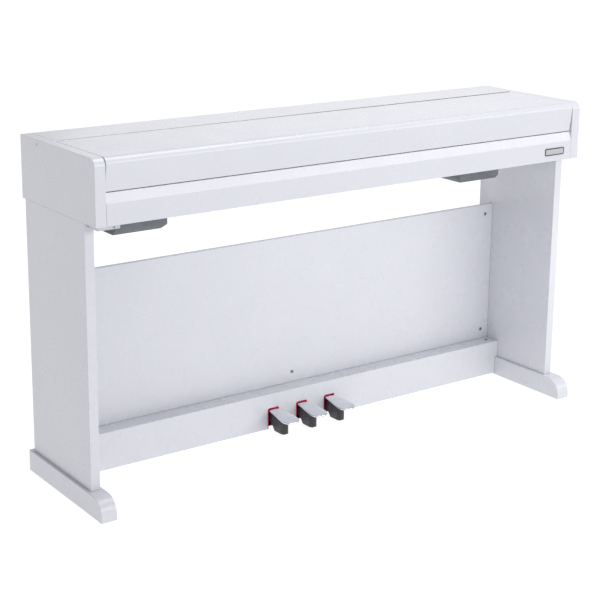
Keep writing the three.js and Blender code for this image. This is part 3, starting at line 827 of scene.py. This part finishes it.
def build_keys():
    """A piece for each node of keys, whose stems are joined by a rail behind."""
    keys = lay_out_keys()
    head_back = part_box("bass_black_keys")[0].y
    white_low, white_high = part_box("bass_white_keys")
    black_back = white_low.y + 146 * MM
    for node in sorted({key["node"] for key in keys}):
        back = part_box(node)[1].y
        edit = bmesh.new()
        members = [i for i, key in enumerate(keys) if key["node"] == node]
        for i in members:
            if keys[i]["colour"] == "white":
                before = keys[i - 1] if i else None
                after = keys[i + 1] if i + 1 < len(keys) else None
                white_key(edit, keys[i], before, after, head_back)
            else:
                black_key(edit, keys[i], head_back, black_back, white_high.z)
        white = keys[members[0]]["colour"] == "white"
        depth, drop = (32 * MM, 18 * MM) if white else (19.5 * MM, 10 * MM)
        end_gap, thickness = 3 * MM, 6 * MM
        rail_x = (keys[members[0]]["left"] + end_gap, keys[members[-1]]["right"] - end_gap)
        rail_y = (back - depth, back)
        under = white_high.z - drop
        add_prism(edit, quad(rail_x, rail_y, under), quad(rail_x, rail_y, under + thickness))
        bmesh.ops.recalc_face_normals(edit, faces=edit.faces)
        mesh = bpy.data.meshes.new(node)
        edit.to_mesh(mesh)
        edit.free()
        name = node.replace("_keys", "_key_set").replace("_key", "_shaped_key")
        piece = add_piece(name, mesh, node, SLOT_OF_NODE[node], [node])
        round_edges(piece, (0.7 if white else 1.1) * MM)


def build_key_bed():
    """The key frame, and the felt strip behind the keys, with soft edges and an uneven surface."""
    dress("key_frame", 0.4 * MM, 2)
    low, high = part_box("key_felt")
    steps = 480
    grain, unevenness = 260, 0.22 * MM
    section = rounded_rectangle((low.y, low.z), (high.y, high.z), 1.1 * MM, 3)
    rings = []
    for i in range(steps + 1):
        x = low.x + (high.x - low.x) * i / steps
        ring = []
        for y, z in section:
            rough = noise.noise(Vector((x, y, z)) * grain) * unevenness
            ring.append((x, y + rough, z + 0.6 * rough))
        rings.append(ring)
    name = "key_felt_strip"
    piece = add_piece(name, loft(name, rings), "cabinet", "red_felt", ["key_felt"], sharp=60.0)


# Controls


def build_controls():
    dress("control_panel", 0.7 * MM)
    dress("circuit_board", 0.2 * MM, 2)
    button_rise = 2.5 * MM
    panel_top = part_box("power_button")[1].z - button_rise
    for node in ("power_button", "voice_button", "metronome_button"):
        dress(node, 0.9 * MM, 4, limit=30.0)
    build_knob(panel_top)
    build_panel_marks(panel_top)


def build_knob(panel_top):
    """A fluted knob with a dished top and a pointer line."""
    low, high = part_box("volume_knob")
    x, y = (low.x + high.x) / 2, (low.y + high.y) / 2
    radius = (high.x - low.x) / 2
    stem, base = 3 * MM, panel_top + 0.6 * MM
    flutes, flute_depth = 40, 0.35 * MM
    steps = flutes * 6
    profile = [  # Radius, height, and how deep the flutes are there
        (stem, low.z, 0),
        (stem, base, 0),
        (radius - 0.2 * MM, base, 0),
        (radius, base + 0.4 * MM, 0),
        (radius - 0.1 * MM, base + 2.2 * MM, 0),
        (radius - 0.2 * MM, base + 2.8 * MM, 1),
        (radius - 0.7 * MM, high.z - 1.4 * MM, 1),
        (radius - 1.1 * MM, high.z - 0.6 * MM, 0.4),
        (radius - 1.8 * MM, high.z - 0.1 * MM, 0),
        (radius - 2.6 * MM, high.z, 0),
        (radius - 4.5 * MM, high.z - 0.4 * MM, 0),
        (TIP, high.z - 0.6 * MM, 0),
    ]
    rings = []
    for reach, z, fluted in profile:
        ring = []
        for i in range(steps):
            angle = 2 * math.pi * i / steps
            r = reach - flute_depth * fluted * (0.5 - 0.5 * math.cos(angle * flutes))
            ring.append((x + r * math.cos(angle), y + r * math.sin(angle), z))
        rings.append(ring)
    node = "volume_knob"
    mesh = loft(node, rings)
    add_piece("volume_knob_fluted", mesh, node, "light_grey_plastic", [node], sharp=40.0)

    half_width = 0.5 * MM
    tip = y + radius - 1.9 * MM
    line = rounded_rectangle((x - half_width, y + 4 * MM), (x + half_width, tip), 0.4 * MM, 3)
    mesh = loft("pointer", [[(*point, z) for point in line] for z in (high.z - 0.8 * MM, high.z)])
    add_piece("volume_knob_pointer", mesh, node, "black_plastic")


def build_panel_marks(panel_top):
    """Printed dots round the knob, a line before two of the buttons, and a lens by the third."""
    low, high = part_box("volume_knob")
    centre = Vector(((low.x + high.x) / 2, (low.y + high.y) / 2))
    marks = bmesh.new()
    dots = 11
    for i in range(dots):
        angle = math.radians(240 - 300 * i / (dots - 1))
        place = centre + Vector((math.cos(angle), math.sin(angle))) * 14.5 * MM
        size = (0.45 + 0.05 * i) * MM
        dot = [(place.x + x, place.y + y) for x, y in arc((0, 0), size, 0, 330, 11)]
        add_mark(marks, dot, panel_top)
    half_length, half_width = 5 * MM, 0.3 * MM
    for node in ("voice_button", "metronome_button"):
        low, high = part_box(node)
        x, y = (low.x + high.x) / 2, low.y - 4 * MM
        corners = (x - half_length, y - half_width), (x + half_length, y + half_width)
        add_mark(marks, rounded_rectangle(*corners, 0.25 * MM, 3), panel_top)
    mesh = bpy.data.meshes.new("panel_marks")
    bmesh.ops.recalc_face_normals(marks, faces=marks.faces)
    marks.to_mesh(mesh)
    marks.free()
    add_piece("panel_marks", mesh, "cabinet", "light_grey_plastic")

    low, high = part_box("power_button")
    place = (high.x + 7 * MM, (low.y + high.y) / 2, panel_top - 0.6 * MM)
    profile = [(TIP, 0), *in_mm([(1.5, 0), (1.5, 0.9), (1.0, 1.3)]), (TIP, 1.45 * MM)]
    mesh = turned("power_lens", profile, place, steps=20)
    lens = add_piece("power_lens", mesh, "cabinet", "black_plastic", sharp=60.0)
    lens.data.materials[0] = indicator_lens()


def add_mark(edit, outline, level):
    """A thin closed plate over an outline, half sunk in the surface at that level."""
    half = 0.06 * MM
    add_prism(edit, *([(x, y, z) for x, y in outline] for z in (level - half, level + half)))


# Sockets and speakers


SOCKET_DEPTH = 9 * MM

# Profiles of (radius, height) in millimetres, whose end rings are just wide enough not to merge
SPEAKER_BASKET = [
    (2e-3, 15), (14, 12.5), (30, 6.5), (39.7, 3.75), (39.7, 1.2), (41, 0), (46, 0), (46, 2.2),
    (44.5, 3), (41, 6), (36, 17), (32, 30), (32.2, 31), (32.2, 47), (31.2, 48), (2e-3, 48),
]  # fmt: skip
SPEAKER_CONE = [
    (2e-3, 6.2), (4, 6.6), (8, 7.8), (11, 10.2), (12, 11), (20, 8), (30, 4.2), (32, 3.6),
    (33, 2.2), (35, 1.4), (37, 2.0), (38.5, 3.2), (39.5, 2.2), (39.5, 3.6), (30, 6.4),
    (14, 12.3), (2e-3, 14.5),
]  # fmt: skip


def build_sockets():
    """The headphone socket in front, and mains, data, pedal and line sockets behind."""
    dress("headphone_jack_box", 1.2 * MM)
    dress("rear_jack_plate", 0.5 * MM, 2)
    low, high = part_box("headphone_jack_box")
    hole = (-634 * MM, low.y, high.z - 4.3 * MM)
    add_collar("headphone_collar", hole, (3.15, 1.6), 12 * MM, -1, "light_grey_plastic")

    low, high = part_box("rear_jack_plate")
    middle_z = (low.z + high.z) / 2
    rear = high.y
    inlet, pedals, line = ((x * MM, rear, middle_z) for x in (204, 270, 302))
    add_collar("power_inlet_collar", inlet, (3.95, 3.2), SOCKET_DEPTH, 1, "black_plastic")
    add_collar("line_socket_collar", line, (3.95, 1.8), SOCKET_DEPTH, 1, "steel")
    add_collar("pedal_socket_collar", pedals, (6.95, 5.6), SOCKET_DEPTH, 1, "steel")
    add_pin("power_inlet_pin", 0.9 * MM, (-0.8 * MM, -0.2 * MM), inlet, "steel")
    add_pin("pedal_socket_core", 4.6 * MM, (-3.5 * MM, -3.5 * MM), pedals, "black_plastic")

    left, right = 231 * MM, 238 * MM
    under, over = middle_z - 2.4 * MM, middle_z + 2.4 * MM
    tongue = [
        [(left, y, under), (right, y, under), (right, y, over), (left, y, over)]
        for y in (rear - SOCKET_DEPTH, rear - 1.4 * MM)
    ]
    piece = add_piece("data_socket_tongue", loft("tongue", tongue), "cabinet", "light_grey_plastic")
    round_edges(piece, 0.4 * MM, 2)


def add_collar(name, place, radii, depth, facing, slot):
    """A ring round a socket, with a closed tube behind it.

    The outer and inner radii are in millimetres, and facing is -1 for the front, 1 for the rear.
    """
    outer, inner = (radius * MM for radius in radii)
    lip = 0.5 * MM
    profile = [
        (TIP, -depth),
        (outer, -depth),
        (outer, 0),
        (outer + lip, 0),
        (outer + lip, 0.5 * lip),
        (outer + 0.5 * lip, lip),
        (inner + 0.5 * lip, lip),
        (inner, 0.5 * lip),
        (inner, -depth + 1 * MM),
        (TIP, -depth + 1 * MM),
    ]
    mesh = turned(name, [(radius, facing * height) for radius, height in profile], place, "Y")
    add_piece(name, mesh, "cabinet", slot, sharp=40.0)


def add_pin(name, radius, heights, place, slot):
    """A pin in a rear socket; heights are those of its shoulder and its tip."""
    shoulder, tip = heights
    profile = [(TIP, -SOCKET_DEPTH), (radius, -SOCKET_DEPTH), (radius, shoulder), (TIP, tip)]
    add_piece(name, turned(name, profile, place, "Y", 24), "cabinet", slot, sharp=40.0)


def build_speakers():
    for side in SIDES:
        dress(f"{side}_speaker_tray", 1.2 * MM)
        node = f"{side}_speaker"
        low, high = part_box(node)
        centre = ((low.x + high.x) / 2, (low.y + high.y) / 2, low.z)
        basket = turned(f"{side}_basket", in_mm(SPEAKER_BASKET), centre, steps=72)
        add_piece(f"{node}_basket", basket, "cabinet", "steel", [node], sharp=40.0)
        cone = turned(f"{side}_cone", in_mm(SPEAKER_CONE), centre, steps=72)
        add_piece(f"{node}_cone", cone, "cabinet", "speaker_black", sharp=40.0)


# Stand


def build_stand():
    for side in SIDES:
        dress(f"{side}_leg", 0.9 * MM, 4, joint_z=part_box(f"{side}_leg")[1].z)
        dress(f"{side}_foot", 1.6 * MM, 4)
    dress("back_panel", 1.0 * MM)
    dress("pedal_box_front", 0.9 * MM, limit=30.0)
    dress("pedal_box_top", 0.9 * MM)
    dress("pedal_base_plate", 0.3 * MM, 2)
    dress("pedal_axle", 0.4 * MM, 2, limit=30.0)


def build_screws():
    """Three screws low and two high on the back panel, two in the shelf, two rows behind."""
    head = screw_head(4.2 * MM, 1.5 * MM)
    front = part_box("back_panel")[0].y - 0.05 * MM
    places = [(-631.6, 444.3), (-631.6, 121.8), (631.6, 444.3), (631.6, 121.8), (0.7, 122.2)]
    for i, (x, z) in enumerate(in_mm(places)):
        add_screw(f"back_panel_screw_{i + 1}", head, (x, front, z), (0, -1, 0), 15 + 40 * i)

    low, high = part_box("pedal_box_top")
    for i, sign in enumerate(SIDES.values()):
        place = (sign * 636.5 * MM, low.y + 9.8 * MM, high.z - 0.1 * MM)
        add_screw(f"pedal_box_screw_{i + 1}", head, place, (0, 0, 1), 30 + 25 * i)

    low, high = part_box("rear_board")
    small = screw_head(3.6 * MM, 0.9 * MM)
    side_margin, margin, count = 14 * MM, 9 * MM, 5
    pitch = (high.x - low.x - 2 * side_margin) / (count - 1)
    for row, z in enumerate((low.z + margin, high.z - margin)):
        for i in range(count):
            place = (low.x + side_margin + pitch * i, high.y - 0.9 * MM, z)
            name = f"rear_board_screw_{row * count + i + 1}"
            add_screw(name, small, place, (0, 1, 0), 37 * i + 11)


# Pedals


def pedal_outline(centre, low, high, box_front):
    """The plate from above, anticlockwise: narrow in the slot, wider forward, round at the tip."""
    neck = 14 * MM
    wide = (high.x - low.x) / 2
    widest = low.y + 21 * MM
    flare = interpolate_bezier(
        (neck, box_front - 3 * MM, 0),
        (neck + 3 * MM, box_front - 25 * MM, 0),
        (wide, widest + 22 * MM, 0),
        (wide, widest, 0),
        16,
    )
    tip = interpolate_bezier(
        (wide, widest, 0), (wide, low.y + 6 * MM, 0), (12 * MM, low.y, 0), (0, low.y, 0), 18
    )
    half = [(neck, high.y), *((p.x, p.y) for p in flare), *((p.x, p.y) for p in tip[1:])]
    left = [(centre - x, y) for x, y in half]
    right = [(centre + x, y) for x, y in reversed(half[:-1])]
    return left + right


def pedal_droop(tip_y, box_front):
    """A function of y: how far the plate lies below its level in the slot, as a negative height."""
    droop = 7.2 * MM
    line = interpolate_bezier(
        (box_front - 4 * MM, 0, 0),
        (box_front - 34 * MM, 0, 0),
        (tip_y + 28 * MM, -droop + 3.4 * MM, 0),
        (tip_y - 1 * MM, -droop, 0),
        33,
    )

    def height(y):
        for ahead, behind in zip(line[1:], line):
            if ahead.x <= y <= behind.x:
                share = (behind.x - y) / (behind.x - ahead.x)
                return behind.y + share * (ahead.y - behind.y)
        return 0.0 if y > line[0].x else -droop

    return height


def build_pedals():
    """Plates with rolled edges and a faint crown, on their arms, in felt, over springs."""
    box_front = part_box("pedal_box_front")[0].y
    thickness = 4.7 * MM
    roll = 2.6 * MM
    crown = 0.35 * MM
    flat_from = 12 * MM
    for side in PEDALS:
        node = f"{side}_pedal"
        low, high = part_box(node)
        outline = pedal_outline((low.x + high.x) / 2, low, high, box_front)
        droop = pedal_droop(low.y, box_front)
        under = high.z - thickness

        def level(distance, z):
            return [(x, y, z + droop(y)) for x, y in inset(outline, distance)]

        rings = [
            level(1.2 * MM, under + 1.6 * MM),
            level(1.2 * MM, under),
            level(0.2 * MM, under),
            level(0, under + 0.4 * MM),
        ]
        shoulder = high.z - crown - roll
        for degrees in range(0, 91, 15):
            angle = math.radians(degrees)
            distance = roll * (1 - math.cos(angle))
            rings.append(level(distance, shoulder + roll * math.sin(angle)))
        for distance in (4 * MM, 6 * MM, 8 * MM, 10 * MM, flat_from):
            share = (distance - roll) / (flat_from - roll)
            rings.append(level(distance, high.z - crown * (1 - share) ** 2))
        add_piece(f"{node}_plate", loft(node, rings), node, "chrome", [node], sharp=50.0)
        # A dark band of painted shade under the plate's overhanging edge
        build_pedal_painted_shade(side, outline, under, droop)
        dress(f"{node}_arm", 1.2 * MM, 3, limit=30.0)
        build_pedal_felt(side)
        build_spring(side)


def build_pedal_painted_shade(side, outline, under, droop):
    """A dark rubber band a little inside the plate's edge, between the plate and its arm: painted
    shade standing in for the shadow under the plate's overhanging edge.
    """
    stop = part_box(f"{side}_pedal_arm")[0].y - 2 * MM
    rings = []
    for distance, height in in_mm([(1.3, -3.2), (0.7, -2.8), (0.7, 0.3)]):
        shade_outline = [(x, max(y, stop)) for x, y in inset(outline, distance)]
        rings.append([(x, y, under + height + droop(y)) for x, y in shade_outline])
    # The band is painted shade: a dark sheet where the plate's overhang casts its shadow
    mesh = loft("pedal_painted_shade", rings)
    add_piece(f"{side}_pedal_painted_shade", mesh, f"{side}_pedal", "rubber", sharp=40.0)


def build_pedal_felt(side):
    """Felt folded round the slot: up one side, over the crown and down the other."""
    node = f"{side}_pedal_felt"
    low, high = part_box(node)
    corner = 3.7 * MM
    thickness = 1.7 * MM
    front = low.y - 0.6 * MM
    middle = (low.x + high.x) / 2
    half_span = middle - low.x - corner
    left = [(low.x, low.z + (high.z - corner - low.z) * i / 30) for i in range(30)]
    over = arc((low.x + corner, high.z - corner), corner, 180, 90, 8)
    across = [(low.x + corner + half_span * i / 10, high.z) for i in range(1, 11)]
    half = [*left, *over, *across]
    path = half + [(2 * middle - x, z) for x, z in reversed(half[:-1])]
    section = rounded_rectangle((0, front), (thickness, high.y), 0.6 * MM, 3)
    grain, unevenness = 420, 0.16 * MM
    rings = []
    for i, point in enumerate(path):
        ahead = Vector(path[min(i + 1, len(path) - 1)]) - Vector(path[max(i - 1, 0)])
        ahead.normalize()
        inward = Vector((ahead.y, -ahead.x))
        ring = []
        for depth, y in section:
            spot = Vector(point) + inward * depth
            rough = noise.noise(Vector((spot.x, y, spot.y)) * grain) * unevenness
            ring.append((spot.x, y + rough, spot.y + (rough if depth > 0.5 * thickness else 0)))
        rings.append(ring)
    mesh = loft(node, rings)
    piece = add_piece(f"{node}_lining", mesh, "cabinet", "red_felt", [node], sharp=60.0)


def build_spring(side):
    """A coil spring with closed ends."""
    node = f"{side}_pedal_spring"
    low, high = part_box(node)
    wire = 0.9 * MM
    radius = (high.x - low.x) / 2 - wire
    centre = ((low.x + high.x) / 2, (low.y + high.y) / 2)
    turns = 6
    steps = 20 * turns
    path = []
    for i in range(steps + 1):
        share = i / steps
        eased = share - 0.06 * math.sin(2 * math.pi * share)
        angle = 2 * math.pi * turns * share
        z = low.z + wire + (high.z - low.z - 2 * wire) * eased
        path.append((centre[0] + radius * math.cos(angle), centre[1] + radius * math.sin(angle), z))
    mesh = tube(node, path, wire)
    piece = add_piece(f"{node}_coil", mesh, "cabinet", "steel", [node], sharp=60.0)
    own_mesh(piece)


add_camera()
add_studio()
build_case()
build_lid()
build_key_bed()
build_keys()
build_controls()
build_sockets()
build_speakers()
build_stand()
build_screws()
build_pedals()
